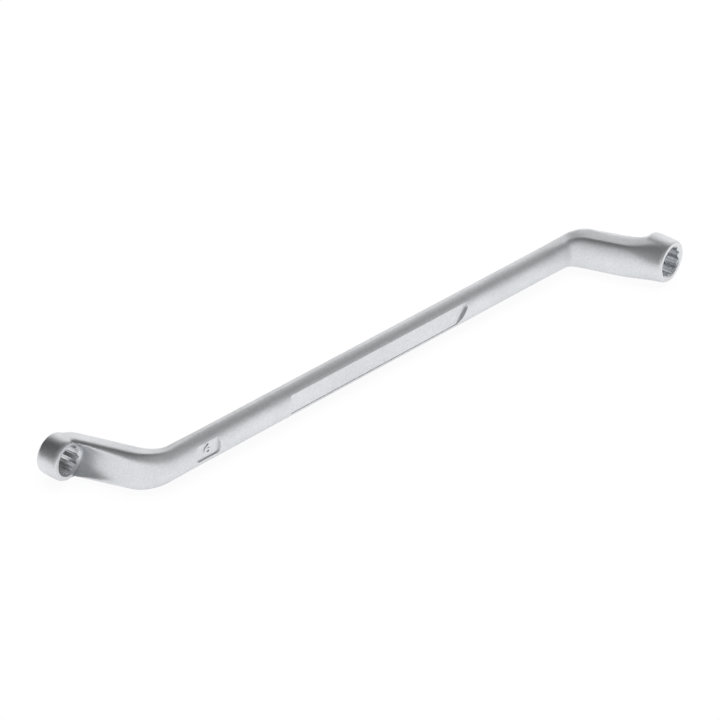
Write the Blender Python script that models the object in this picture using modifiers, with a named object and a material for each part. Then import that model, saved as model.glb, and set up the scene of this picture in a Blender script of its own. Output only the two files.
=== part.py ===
"""Double-ended offset ring spanner for 6 mm and 7 mm hexagons, lying on its side.

The tool is one drop forging, so it is one object. Both socket axes run along Y, and the shank crosses
between the rings at a small tilt. Everything about an end is worked out for an end at +X whose working
face looks along -Y; the small end is that layout given a half turn about Z.
"""

from dataclasses import dataclass
from math import cos, pi, radians, sin, sqrt, tan

import bmesh
import bpy
from mathutils import Matrix, Vector

# Overall layout, in metres and radians
OVERALL_LENGTH = 0.1730
FACE_DISTANCE = 0.0666
SHANK_TILT = radians(7.4)
NECK_ANGLE = radians(73.5)

# Small end
SMALL_ACROSS_FLATS = 0.0060
SMALL_WALL = 0.0018
SMALL_HEIGHT = 0.0060
SMALL_CROWN_RADIUS = 0.0105
SMALL_EDGE_RADIUS = 0.0016
SMALL_SIDE_LENGTH = 0.0024
SMALL_INNER_RADIUS = 0.00175
SMALL_OVERHANG = 0.00145
SMALL_BEND_RADIUS = 0.0080

# Large end
LARGE_ACROSS_FLATS = 0.0070
LARGE_WALL = 0.00185
LARGE_HEIGHT = 0.0071
LARGE_CROWN_RADIUS = 0.0108
LARGE_EDGE_RADIUS = 0.00165
LARGE_SIDE_LENGTH = 0.0029
LARGE_INNER_RADIUS = 0.00185
LARGE_OVERHANG = 0.00195
LARGE_BEND_RADIUS = 0.0068

# The shank is an ellipse, which is this far into the neck's section where the bend ends
SHANK_WIDTH = 0.00885
SHANK_THICKNESS = 0.0053
BEND_SHARE = 0.92

# Directions of the neck's surface where one radius gives way to the next, from the outer face to the top
FLAT_TURN = radians(2)
CROWN_STOP = radians(20)
SIDE_START = radians(73)
SIDE_STOP = radians(76)

# Sockets, spot faces and ring edges
HEXAGON_SIDES = 6
SOCKET_POINTS = 2 * HEXAGON_SIDES
FIT_CLEARANCE = 0.00008
MOUTH_LEAD = 0.00035
EDGE_CHAMFER = 0.0007
SPOT_MARGIN = 0.00055
SPOT_DEPTH = 0.00015

# The neck starts to turn into the ring's round this far before the spot face
FLARE_LENGTH = 0.0035
ROOT_MARGIN = 0.0005
ROOT_INSET = 0.0001

# Scoop that clears the socket's mouth and runs out along the neck's inner face
SCOOP_LENGTH = 0.0180
SCOOP_STOP = 0.8
SCOOP_MARGIN = 0.0001
SCOOP_WIDTH_SHARE = 0.82

# Pockets sunk in the two broad faces of the shank
POCKET_DEPTH = 0.00065
SIZE_POCKET_CORNER = 0.00085
SIZE_POCKET_LENGTH = 0.0070
SIZE_POCKET_WIDTH = 0.0042
SIZE_POCKET_GAP = 0.0058
PANEL_CORNER = 0.0004
PANEL_LENGTH = 0.0607
PANEL_WIDTH = 0.0049
PANEL_SLANT = 0.0034
PANEL_SHIFT = 0.00125

# Facets
QUARTER_STEPS = (1, 2, 6, 1, 2)
RING_STEPS = 72
CORNER_STEPS = 4
NECK_STATIONS = 9
BEND_STATIONS = 10
SHANK_STATIONS = 7
ROOT_STATIONS = 8
SCOOP_STATIONS = 10
SMOOTH_ANGLE = radians(28)
MERGE_DISTANCE = 0.000002

SHANK_RUN = Vector((cos(SHANK_TILT), -sin(SHANK_TILT)))
NECK_RUN = Vector((cos(NECK_ANGLE), -sin(NECK_ANGLE)))
HALF_TURN = Matrix.Rotation(pi, 4, "Z")
TURN_TO_Y = Matrix.Rotation(pi / 2, 4, "X")


@dataclass(frozen=True)
class Section:
    """One cross-section of the bar: its centre and heading in plan, and the upper half of its outline.

    The outline gives how far out and how high the surface is, from the outer face to the inner one. Out is to
    the right of the heading, or to the left where the section is at the end that was given a half turn.
    """

    centre: Vector
    heading: float
    outline: list
    turned: bool = False

    def half_turned(self):
        """The same section at the opposite end of the tool."""
        return Section(-self.centre, self.heading, self.outline, True)

    def points(self, middle_height):
        """Points of the whole outline in world space, from the right of the heading over the top."""
        upper = self.outline[::-1] if self.turned else self.outline
        lower = [Vector((point.x, -point.y)) for point in upper[-2:0:-1]]
        outward = left_of(self.heading) * (1 if self.turned else -1)
        for point in upper + lower:
            place = self.centre + outward * point.x
            yield Vector((place.x, place.y, middle_height + point.y))


@dataclass(frozen=True)
class RingEnd:
    """Sizes of one end, and the places that follow from them for an end at +X."""

    name: str
    across_flats: float
    wall: float
    height: float
    crown_radius: float
    edge_radius: float
    side_length: float
    inner_radius: float
    overhang: float
    bend_radius: float
    placement: Matrix

    @property
    def flats_radius(self):
        """Distance from the socket's axis to its flats."""
        return (self.across_flats + FIT_CLEARANCE) / 2

    @property
    def corner_radius(self):
        """Distance from the socket's axis to its points."""
        return self.flats_radius / cos(pi / HEXAGON_SIDES)

    @property
    def radius(self):
        """Outer radius of the ring."""
        return self.corner_radius + self.wall

    @property
    def axis_x(self):
        """Place of the socket's axis along the tool."""
        return OVERALL_LENGTH / 2 - self.radius

    @property
    def working_y(self):
        """Plane of the face that goes on the nut."""
        return -FACE_DISTANCE / 2

    @property
    def back_y(self):
        """Plane of the spot face on the shank's side."""
        return self.working_y + self.height

    @property
    def neck_outline(self):
        """Upper half of the neck's section: crowned outer face, rounded edge, side and rounded inner face."""
        side_radius = self.side_length / (SIDE_STOP - SIDE_START)
        turns = (
            (CROWN_STOP, self.crown_radius), (SIDE_START, self.edge_radius), (SIDE_STOP, side_radius),
            (pi, self.inner_radius))
        points = [Vector((0, 0))]
        for start, stop in zip(DIRECTIONS, DIRECTIONS[1:-1]):
            radius = next(radius for limit, radius in turns if (start + stop) / 2 < limit)
            points.append(points[-1] + radius * Vector((cos(stop) - cos(start), sin(stop) - sin(start))))
        points.append(Vector((points[-1].x, 0)))
        middle = Vector((points[-1].x / 2, 0))
        return [point - middle for point in points]

    @property
    def face_gap(self):
        """Distance from the socket's axis to the neck's inner face, at the spot face."""
        return self.radius + self.overhang - 2 * self.neck_outline[0].x / sin(NECK_ANGLE)

    @property
    def neck_foot(self):
        """Where the neck's middle line crosses the spot face."""
        half_cut = self.neck_outline[0].x / sin(NECK_ANGLE)
        return Vector((self.axis_x - self.radius - self.overhang + half_cut, self.back_y))

    @property
    def vertex(self):
        """Where the middle lines of the shank and the neck cross."""
        return SHANK_RUN * (self.neck_foot.cross(NECK_RUN) / SHANK_RUN.cross(NECK_RUN))

    @property
    def tangent(self):
        """Length from the vertex to each end of the bend."""
        return self.bend_radius * tan((NECK_ANGLE - SHANK_TILT) / 2)

    @property
    def bend_start(self):
        """Where the shank runs into the bend."""
        return self.vertex - SHANK_RUN * self.tangent

    @property
    def bend_end(self):
        """Where the bend runs into the neck."""
        return self.vertex + NECK_RUN * self.tangent

    @property
    def flare(self):
        """Where the neck starts to turn into the ring's round."""
        return self.neck_foot - NECK_RUN * FLARE_LENGTH

    @property
    def root(self):
        """Where the neck's middle line ends inside the ring."""
        depth = self.height - EDGE_CHAMFER - ROOT_MARGIN
        return self.neck_foot + NECK_RUN * (depth / sin(NECK_ANGLE))


SMALL_END = RingEnd(
    "small", SMALL_ACROSS_FLATS, SMALL_WALL, SMALL_HEIGHT, SMALL_CROWN_RADIUS, SMALL_EDGE_RADIUS,
    SMALL_SIDE_LENGTH, SMALL_INNER_RADIUS, SMALL_OVERHANG, SMALL_BEND_RADIUS, HALF_TURN)
LARGE_END = RingEnd(
    "large", LARGE_ACROSS_FLATS, LARGE_WALL, LARGE_HEIGHT, LARGE_CROWN_RADIUS, LARGE_EDGE_RADIUS,
    LARGE_SIDE_LENGTH, LARGE_INNER_RADIUS, LARGE_OVERHANG, LARGE_BEND_RADIUS, Matrix.Identity(4))
ENDS = (SMALL_END, LARGE_END)

# The tool lies on its widest ring, so this is the height of its middle plane
MIDDLE_HEIGHT = max(end.radius for end in ENDS)


def surface_directions():
    """Directions at which a section is worked out, the same from the outer face as from the inner one."""
    stops = (0, FLAT_TURN, CROWN_STOP, SIDE_START, SIDE_STOP, pi / 2)
    quarter = [
        low + (high - low) * step / count
        for low, high, count in zip(stops, stops[1:], QUARTER_STEPS) for step in range(count)]
    return quarter + [pi / 2] + [pi - direction for direction in reversed(quarter)]


DIRECTIONS = surface_directions()


def shank_outline():
    """Upper half of the shank's ellipse."""
    half = Vector((SHANK_THICKNESS / 2, SHANK_WIDTH / 2))
    points = []
    for direction in DIRECTIONS:
        reach = Vector((half.x * cos(direction), half.y * sin(direction)))
        points.append(reach * half / reach.length)
    return points


def mix_outlines(first, second, share):
    """Outline part of the way from one to another."""
    return [point.lerp(other, share) for point, other in zip(first, second)]


def smooth_step(share):
    """Ease from 0 to 1 with level ends."""
    return share * share * (3 - 2 * share)


def left_of(heading):
    """Unit vector in plan to the left of a heading."""
    return Vector((-sin(heading), cos(heading)))


def run_of_sections(start, stop, heading, outlines, count):
    """Sections along a straight run, easing from one outline to another; the start itself is left out."""
    for step in range(1, count + 1):
        share = step / count
        yield Section(start.lerp(stop, share), heading, mix_outlines(*outlines, smooth_step(share)))


def bend_of_sections(start, radius, headings, outlines, count):
    """Sections round a bend to the right, easing from one outline to another."""
    first, last = headings
    centre = start - radius * left_of(first)
    for step in range(1, count + 1):
        share = step / count
        heading = first + (last - first) * share
        outline = mix_outlines(*outlines, smooth_step(share))
        yield Section(centre + radius * left_of(heading), heading, outline)


def root_of_sections(end, count):
    """Sections that turn the neck into the ring's round."""
    radius = end.radius - ROOT_INSET
    for step in range(1, count + 1):
        share = step / count
        centre = end.flare.lerp(end.root, share)
        to_axis = (centre - Vector((end.axis_x, centre.y))).dot(left_of(-NECK_ANGLE))
        ring = [
            Vector((to_axis + radius * cos(direction), radius * sin(direction))) for direction in DIRECTIONS]
        yield Section(centre, -NECK_ANGLE, mix_outlines(end.neck_outline, ring, smooth_step(share)))


def half_bar(end):
    """Sections of the bar from the middle of the shank to the root inside the ring."""
    shank = shank_outline()
    neck = end.neck_outline
    bend = mix_outlines(shank, neck, BEND_SHARE)
    middle = Vector((0, 0))
    yield Section(middle, -SHANK_TILT, shank)
    yield from run_of_sections(middle, end.bend_start, -SHANK_TILT, (shank, shank), SHANK_STATIONS)
    yield from bend_of_sections(
        end.bend_start, end.bend_radius, (-SHANK_TILT, -NECK_ANGLE), (shank, bend), BEND_STATIONS)
    yield from run_of_sections(end.bend_end, end.flare, -NECK_ANGLE, (bend, neck), NECK_STATIONS)
    yield from root_of_sections(end, ROOT_STATIONS)


def new_object(name, mesh, collection):
    """Put a mesh in the scene as a named object."""
    thing = bpy.data.objects.new(name, mesh)
    collection.objects.link(thing)
    return thing


def mesh_from(builder):
    """Turn a bmesh into a mesh with its faces pointing out."""
    bmesh.ops.recalc_face_normals(builder, faces=builder.faces)
    mesh = bpy.data.meshes.new("shape")
    builder.to_mesh(mesh)
    builder.free()
    return mesh


def loft(loops):
    """Skin a run of closed loops of equal count and cap both ends."""
    builder = bmesh.new()
    rows = [[builder.verts.new(point) for point in loop] for loop in loops]
    count = len(rows[0])
    for row, following in zip(rows, rows[1:]):
        for index in range(count):
            after = (index + 1) % count
            builder.faces.new((row[index], row[after], following[after], following[index]))
    builder.faces.new(rows[0])
    builder.faces.new(rows[-1])
    return mesh_from(builder)


def make_bar():
    """Shank, bends and necks as one lofted bar."""
    small_half = [section.half_turned() for section in half_bar(SMALL_END)]
    sections = small_half[:0:-1] + list(half_bar(LARGE_END))
    return loft([list(section.points(MIDDLE_HEIGHT)) for section in sections])


def ring_frame(end):
    """Frame on the socket's axis at the working face, with its Z pointing out of that face."""
    at_end = Matrix.Translation((end.axis_x, end.working_y, MIDDLE_HEIGHT)) @ TURN_TO_Y
    return end.placement @ at_end


def hide(thing):
    """Mark an object as a guide that is not part of the tool."""
    thing.hide_render = True
    thing.display_type = "WIRE"
    return thing


def make_barrel(end, collection):
    """Turned blank of a ring, with its edges chamfered."""
    depth = end.height + SPOT_DEPTH
    rim = end.radius - EDGE_CHAMFER
    outline = (
        (0, 0), (rim, 0), (end.radius, -EDGE_CHAMFER),
        (end.radius, EDGE_CHAMFER - depth), (rim, -depth), (0, -depth))
    mesh = bpy.data.meshes.new("profile")
    edges = [(index, index + 1) for index in range(len(outline) - 1)]
    mesh.from_pydata([(x, 0, z) for x, z in outline], edges, [])
    barrel = new_object(end.name + "_barrel", mesh, collection)
    turning = barrel.modifiers.new("turning", "SCREW")
    turning.axis = "Z"
    turning.steps = RING_STEPS
    turning.render_steps = RING_STEPS
    turning.use_merge_vertices = True
    turning.merge_threshold = MERGE_DISTANCE
    barrel.matrix_world = ring_frame(end)
    return hide(barrel)


def make_cone(name, segments, low, high, collection, frame):
    """Prism, cylinder or cone between two (radius, height) pairs on a frame's Z axis."""
    builder = bmesh.new()
    bmesh.ops.create_cone(
        builder, cap_ends=True, segments=segments, radius1=low[0], radius2=high[0], depth=high[1] - low[1],
        matrix=Matrix.Translation((0, 0, (low[1] + high[1]) / 2)))
    cutter = new_object(name, mesh_from(builder), collection)
    cutter.matrix_world = frame
    return hide(cutter)


def scoop_loop(end, share):
    """Loop of the scoop's cutter round the socket's axis, a share of its length behind the spot face."""
    fade = (1 - share) ** 3
    spot = end.radius - SPOT_MARGIN
    mouth = end.corner_radius + MOUTH_LEAD + SCOOP_MARGIN
    face = end.face_gap + SCOOP_LENGTH * share / tan(NECK_ANGLE)
    reach = face + fade * (mouth - end.face_gap)
    crease = spot * (SCOOP_WIDTH_SHARE + (1 - SCOOP_WIDTH_SHARE) * fade)
    width = crease / sqrt(1 - (face / reach) ** 2)
    points = []
    for step in range(RING_STEPS):
        turn = 2 * pi * (step + 0.5) / RING_STEPS
        length = reach if cos(turn) < 0 else spot
        points.append(Vector((length * cos(turn), width * sin(turn), -end.height - SCOOP_LENGTH * share)))
    return points


def make_scoop(end, collection):
    """Cutter for the spot face and the scoop behind it."""
    loops = [scoop_loop(end, SCOOP_STOP * step / SCOOP_STATIONS) for step in range(SCOOP_STATIONS + 1)]
    cutter = new_object(end.name + "_scoop", loft(loops), collection)
    cutter.matrix_world = ring_frame(end)
    return hide(cutter)


def make_socket_cutters(end, collection):
    """Two hexagons for the twelve points, a lead at each mouth and the scoop."""
    frame = ring_frame(end)
    back = -end.height
    cutters = []
    point_pitch = 2 * pi / SOCKET_POINTS
    for index in range(SOCKET_POINTS // HEXAGON_SIDES):
        turned = frame @ Matrix.Rotation((index + 0.5) * point_pitch, 4, "Z")
        low = (end.corner_radius, back - MOUTH_LEAD)
        high = (end.corner_radius, MOUTH_LEAD)
        name = f"{end.name}_hexagon_{index + 1}"
        cutters.append(make_cone(name, HEXAGON_SIDES, low, high, collection, turned))

    # Half a facet of turn keeps the round cutters' edges off the socket's points
    between_facets = frame @ Matrix.Rotation(pi / RING_STEPS, 4, "Z")
    narrow = end.flats_radius - MOUTH_LEAD
    wide = end.corner_radius + 2 * MOUTH_LEAD
    lead_depth = end.corner_radius + MOUTH_LEAD - narrow
    leads = (
        ("working_lead", (narrow, -lead_depth), (wide, MOUTH_LEAD)),
        ("back_lead", (wide, back - MOUTH_LEAD), (narrow, back + lead_depth)))
    for name, low, high in leads:
        cutters.append(make_cone(f"{end.name}_{name}", RING_STEPS, low, high, collection, between_facets))
    return cutters + [make_scoop(end, collection)]


def rounded_outline(corners, radius):
    """Close a polygon and round each of its corners with an arc."""
    points = []
    count = len(corners)
    for index, corner in enumerate(corners):
        before = (corners[index - 1] - corner).normalized()
        after = (corners[(index + 1) % count] - corner).normalized()
        half_angle = before.angle(after) / 2
        centre = corner + (before + after).normalized() * (radius / sin(half_angle))
        start = corner + before * (radius / tan(half_angle)) - centre
        stop = corner + after * (radius / tan(half_angle)) - centre
        points += [
            centre + radius * start.slerp(stop, step / CORNER_STEPS) for step in range(CORNER_STEPS + 1)]
    return points


def make_pocket(name, corners, radius, collection, frame):
    """Cutter for a pocket whose walls slope at 45 degrees from a flat floor."""
    floor = rounded_outline(corners, radius)
    middle = sum(floor, Vector((0, 0))) / len(floor)
    rise = 2 * POCKET_DEPTH
    half_width = max(abs(point.y - middle.y) for point in floor)
    half_length = max(abs(point.x - middle.x) for point in floor)
    spread = Vector((1 + rise / half_length, 1 + rise / half_width))
    mouth = [middle + (point - middle) * spread for point in floor]
    face = SHANK_THICKNESS / 2
    loops = [
        [Vector((point.x, face - POCKET_DEPTH, point.y)) for point in floor],
        [Vector((point.x, face + POCKET_DEPTH, point.y)) for point in mouth]]
    cutter = new_object(name, loft(loops), collection)
    cutter.matrix_world = frame
    return hide(cutter)


def make_pockets(end, collection):
    """Size pocket near the end's bend and the long panel, both on the face that looks away from its nut."""
    on_shank = Matrix.Translation((0, 0, MIDDLE_HEIGHT)) @ Matrix.Rotation(-SHANK_TILT, 4, "Z")
    frame = end.placement @ on_shank
    outer = end.bend_start.length - SIZE_POCKET_GAP
    inner = outer - SIZE_POCKET_LENGTH
    width = SIZE_POCKET_WIDTH / 2
    size_corners = [Vector(corner) for corner in (
        (inner, -width), (outer, -width), (outer, width), (inner, width))]
    near = PANEL_SHIFT + PANEL_LENGTH / 2
    far = PANEL_SHIFT - PANEL_LENGTH / 2
    high = PANEL_WIDTH / 2
    panel_corners = [Vector(corner) for corner in (
        (far + PANEL_SLANT, -high), (near, -high), (near, high), (far, high), (far, PANEL_SLANT - high))]
    return [
        make_pocket(end.name + "_size_pocket", size_corners, SIZE_POCKET_CORNER, collection, frame),
        make_pocket(end.name + "_panel", panel_corners, PANEL_CORNER, collection, frame)]


def make_steel():
    """Satin chrome plating over tool steel."""
    steel = bpy.data.materials.new("satin_chrome")
    steel.use_nodes = True
    shader = steel.node_tree.nodes["Principled BSDF"]
    shader.inputs["Base Color"].default_value = (0.74, 0.75, 0.76, 1)
    shader.inputs["Metallic"].default_value = 1.0
    shader.inputs["Roughness"].default_value = 0.34
    return steel


def add_boolean(thing, other, operation, solver):
    """Join or cut with another object."""
    step = thing.modifiers.new(other.name, "BOOLEAN")
    step.operation = operation
    step.solver = solver
    step.object = other


def make_spanner(parts, guides):
    """Join the bar and the ring blanks, then machine the sockets and pockets."""
    forging = new_object("spanner_forging", make_bar(), parts)
    for end in ENDS:
        add_boolean(forging, make_barrel(end, guides), "UNION", "EXACT")
    # The leads cross every flat of the sockets, where the exact solver leaves open edges
    for end in ENDS:
        for cutter in make_socket_cutters(end, guides) + make_pockets(end, guides):
            add_boolean(forging, cutter, "DIFFERENCE", "MANIFOLD")
    weld = forging.modifiers.new("weld", "WELD")
    weld.merge_threshold = MERGE_DISTANCE
    forging.data.shade_smooth()
    forging.data.set_sharp_from_angle(angle=SMOOTH_ANGLE)
    forging.data.materials.append(make_steel())


def new_collection(name):
    """Add a collection to the scene."""
    collection = bpy.data.collections.new(name)
    bpy.context.scene.collection.children.link(collection)
    return collection


def main():
    """Clear the scene and build the tool."""
    for thing in list(bpy.data.objects):
        bpy.data.objects.remove(thing)
    make_spanner(new_collection("offset_ring_spanner"), new_collection("cutters"))


main()
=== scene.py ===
"""Offset ring spanner in satin chrome: the dressed forging, its studio and the camera.

Shapes are modelled in millimetres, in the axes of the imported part, and put into metres at the end.
"""

import logging
from dataclasses import dataclass, field
from enum import Enum
from math import atan2, cos, pi, radians, sin, sqrt, tan
from typing import Any, Iterator

import bmesh
import bpy
from mathutils import Matrix, Vector


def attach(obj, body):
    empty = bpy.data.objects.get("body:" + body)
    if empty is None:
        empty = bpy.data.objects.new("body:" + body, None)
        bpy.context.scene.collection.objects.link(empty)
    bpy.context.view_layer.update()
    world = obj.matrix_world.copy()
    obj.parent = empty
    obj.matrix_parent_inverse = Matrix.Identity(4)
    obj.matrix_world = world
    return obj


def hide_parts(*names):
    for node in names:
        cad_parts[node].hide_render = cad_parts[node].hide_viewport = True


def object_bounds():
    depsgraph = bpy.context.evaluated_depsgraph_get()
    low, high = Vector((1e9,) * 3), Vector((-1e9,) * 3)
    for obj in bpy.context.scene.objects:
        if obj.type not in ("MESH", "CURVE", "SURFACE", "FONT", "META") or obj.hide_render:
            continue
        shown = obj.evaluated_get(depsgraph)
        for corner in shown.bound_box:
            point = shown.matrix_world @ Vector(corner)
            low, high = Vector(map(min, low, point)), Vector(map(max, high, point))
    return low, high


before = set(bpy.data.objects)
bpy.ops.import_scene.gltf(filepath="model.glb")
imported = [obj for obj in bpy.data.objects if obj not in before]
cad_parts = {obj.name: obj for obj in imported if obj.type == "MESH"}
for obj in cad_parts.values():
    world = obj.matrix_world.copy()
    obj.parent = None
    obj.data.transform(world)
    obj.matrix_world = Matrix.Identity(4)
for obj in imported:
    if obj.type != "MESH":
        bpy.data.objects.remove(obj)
cad_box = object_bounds()

LOG = logging.getLogger("ring_spanner")
MILLIMETRE = 0.001
HEXAGON_SIDES = 6
FORGING_NODE = "spanner_forging"
MERGE_DISTANCE = 0.0005
ARC_STEPS = 8

# Radians that Blender's wave texture turns through in one unit of its scale.
WAVE_TURN = 20.0

# Height of the tool's middle plane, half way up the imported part.
MIDDLE = (cad_box[0][2] + cad_box[1][2]) / (2 * MILLIMETRE)

Outline = list[Vector]
Tone = tuple[float, float, float]
Pattern = tuple[bpy.types.NodeSocket, bpy.types.NodeSocket, bpy.types.NodeSocket]


class Solver(Enum):
    """How two solids are joined or cut."""

    JOIN = "UNION"
    CUT = "DIFFERENCE"


class Surface(Enum):
    """Finishes of the forging, in the order of its material slots."""

    BLASTED = 0
    SMALL_FACE = 1
    LARGE_FACE = 2
    BROACHED = 3


def smooth_step(share: float) -> float:
    """Ease from 0 to 1 with level ends.

    Args:
        share: Place along the way; what is outside 0 to 1 counts as an end.

    Returns:
        The eased share.
    """
    share = min(max(share, 0.0), 1.0)
    return share * share * (3 - 2 * share)


def left_of(heading: float) -> Vector:
    """Point to the left of a heading in plan.

    Args:
        heading: Direction in plan, in radians from +X.

    Returns:
        A unit vector in plan.
    """
    return Vector((-sin(heading), cos(heading)))


def mix_outlines(first: Outline, second: Outline, share: float) -> Outline:
    """Find the outline part of the way from one to another.

    Args:
        first: Outline at share 0.
        second: Outline at share 1.
        share: Place between them.

    Returns:
        The mixed outline.
    """
    return [point.lerp(other, share) for point, other in zip(first, second)]


def fitted(outline: Outline, other: Outline) -> Outline:
    """Scale an outline to the thickness and width of another.

    Args:
        outline: Outline to scale.
        other: Outline whose size it gets.

    Returns:
        The scaled outline.
    """
    old, new = (
        Vector((shape[0].x - shape[-1].x, max(point.y for point in shape))) for shape in (outline, other))
    scale = Vector((new.x / old.x, new.y / old.y))
    return [point * scale for point in outline]


def linked(data: bpy.types.ID, name: str) -> bpy.types.Object:
    """Put a mesh, lamp or camera in the scene.

    Args:
        data: What the object shows.
        name: Name of the object.

    Returns:
        The new object.
    """
    thing = bpy.data.objects.new(name, data)
    bpy.context.scene.collection.objects.link(thing)
    return thing


def closed(builder: bmesh.types.BMesh, name: str) -> bpy.types.Object:
    """Put a bmesh in the scene as an object whose faces point outwards.

    Args:
        builder: Shape to close; it is freed.
        name: Name of the object and its mesh.

    Returns:
        The new object.
    """
    bmesh.ops.recalc_face_normals(builder, faces=builder.faces)
    if builder.calc_volume(signed=True) < 0:
        bmesh.ops.reverse_faces(builder, faces=builder.faces)
    mesh = bpy.data.meshes.new(name)
    builder.to_mesh(mesh)
    builder.free()
    return linked(mesh, name)


def baked(thing: bpy.types.Object) -> bpy.types.Mesh:
    """Make one plain mesh of an object and its modifiers, and clear the modifiers.

    Args:
        thing: Object to settle.

    Returns:
        The object's new mesh.
    """
    view = bpy.context.evaluated_depsgraph_get()
    settled = bpy.data.meshes.new_from_object(thing.evaluated_get(view))
    stale = thing.data
    thing.modifiers.clear()
    thing.data = settled
    bpy.data.meshes.remove(stale)
    return settled


def combine(thing: bpy.types.Object, tools: list[bpy.types.Object], how: Solver) -> None:
    """Join other solids to an object, or cut it with them, and remove them.

    Args:
        thing: Object that is changed.
        tools: Closed solids.
        how: Whether they join or cut.
    """
    for tool in tools:
        for finish in thing.data.materials:
            tool.data.materials.append(finish)
        step = thing.modifiers.new(tool.name, "BOOLEAN")
        step.operation = how.value
        step.solver = "MANIFOLD"
        step.object = tool
    baked(thing)
    for tool in tools:
        spent = tool.data
        bpy.data.objects.remove(tool)
        bpy.data.meshes.remove(spent)


def lofted(rims: list[list[Vector]], name: str) -> bpy.types.Object:
    """Extrude a loop through a run of places into a closed solid.

    Args:
        rims: Points of the loop at each place, all of one count.
        name: Name of the object.

    Returns:
        The solid.
    """
    builder = bmesh.new()
    bmesh.ops.create_circle(builder, segments=len(rims[0]), radius=1)
    place = builder.verts.layers.int.new("place")
    rim, corners = builder.edges[:], builder.verts[:]
    for index, corner in enumerate(corners):
        corner[place] = index
    for index, points in enumerate(rims):
        if index:
            grown = bmesh.ops.extrude_edge_only(builder, edges=rim)["geom"]
            rim = [item for item in grown if isinstance(item, bmesh.types.BMEdge)]
            corners = [item for item in grown if isinstance(item, bmesh.types.BMVert)]
        for corner in corners:
            corner.co = points[corner[place]]
    ends = [edge for edge in builder.edges if edge.is_boundary]
    bmesh.ops.holes_fill(builder, edges=ends)
    return closed(builder, name)


@dataclass(frozen=True)
class SectionPlan:
    """Directions of the surface at which each section is worked out, outer face over the top to inner.

    They read the same from either side, so that both halves of the bar meet point for point.
    """

    flat_turn: float = radians(2)
    crown_stop: float = radians(20)
    side_start: float = radians(78)
    side_stop: float = radians(81)
    steps: tuple[int, ...] = (1, 5, 12, 2, 4)
    outer_stop: float = radians(150)

    @property
    def outer_shares(self) -> list[float]:
        """Give for each direction how far it counts as outer, from 1 at the outer face to 0."""
        return [smooth_step(2 * (1 - direction / self.outer_stop)) for direction in self.directions]

    @property
    def directions(self) -> list[float]:
        """Work out the directions in order.

        Returns:
            The directions, in radians.
        """
        stops = (0, self.flat_turn, self.crown_stop, self.side_start, self.side_stop, pi / 2)
        quarter = [
            low + (high - low) * step / count
            for low, high, count in zip(stops, stops[1:], self.steps) for step in range(count)]
        return quarter + [pi / 2] + [pi - direction for direction in reversed(quarter)]


PLAN = SectionPlan()
DIRECTIONS = PLAN.directions


def oval_outline(half: Vector) -> Outline:
    """Find the upper half of an ellipse at the planned directions of its surface.

    Args:
        half: Half of its size, out and up.

    Returns:
        The outline.
    """
    reaches = [Vector((half.x * cos(turn), half.y * sin(turn))) for turn in DIRECTIONS]
    return [reach * half / reach.length for reach in reaches]


@dataclass(frozen=True)
class Section:
    """One cross-section of the bar: its place in plan and the upper half of its outline.

    The outline gives how far out and how high the surface is. Out is to the right of the heading, or to the
    left at the end that was given a half turn.
    """

    centre: Vector
    heading: float
    outline: Outline
    turned: bool = False

    def half_turned(self) -> "Section":
        """Give the same section at the opposite end of the tool."""
        return Section(-self.centre, self.heading, self.outline, True)

    def rim(self) -> list[Vector]:
        """Find the points of the whole outline, from the right of the heading over the top.

        Returns:
            The points, in millimetres.
        """
        upper = self.outline[::-1] if self.turned else self.outline
        lower = [Vector((point.x, -point.y)) for point in upper[-2:0:-1]]
        outward = left_of(self.heading) * (1 if self.turned else -1)
        places = [(self.centre + outward * point.x, point.y) for point in upper + lower]
        return [Vector((place.x, place.y, MIDDLE + height)) for place, height in places]


@dataclass(frozen=True)
class Shank:
    """The oval bar between the bends."""

    length: float = 172.8
    face_distance: float = 66.6
    tilt: float = radians(7.4)
    neck_angle: float = radians(73.5)
    width: float = 8.85
    thickness: float = 5.3
    stations: int = 90

    @property
    def run(self) -> Vector:
        """Give the direction of the shank in plan, towards +X."""
        return Vector((cos(self.tilt), -sin(self.tilt)))

    @property
    def neck_run(self) -> Vector:
        """Give the direction of a neck in plan, away from the shank."""
        return Vector((cos(self.neck_angle), -sin(self.neck_angle)))

    @property
    def outline(self) -> Outline:
        """Give the upper half of its ellipse."""
        return oval_outline(Vector((self.thickness / 2, self.width / 2)))


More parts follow.
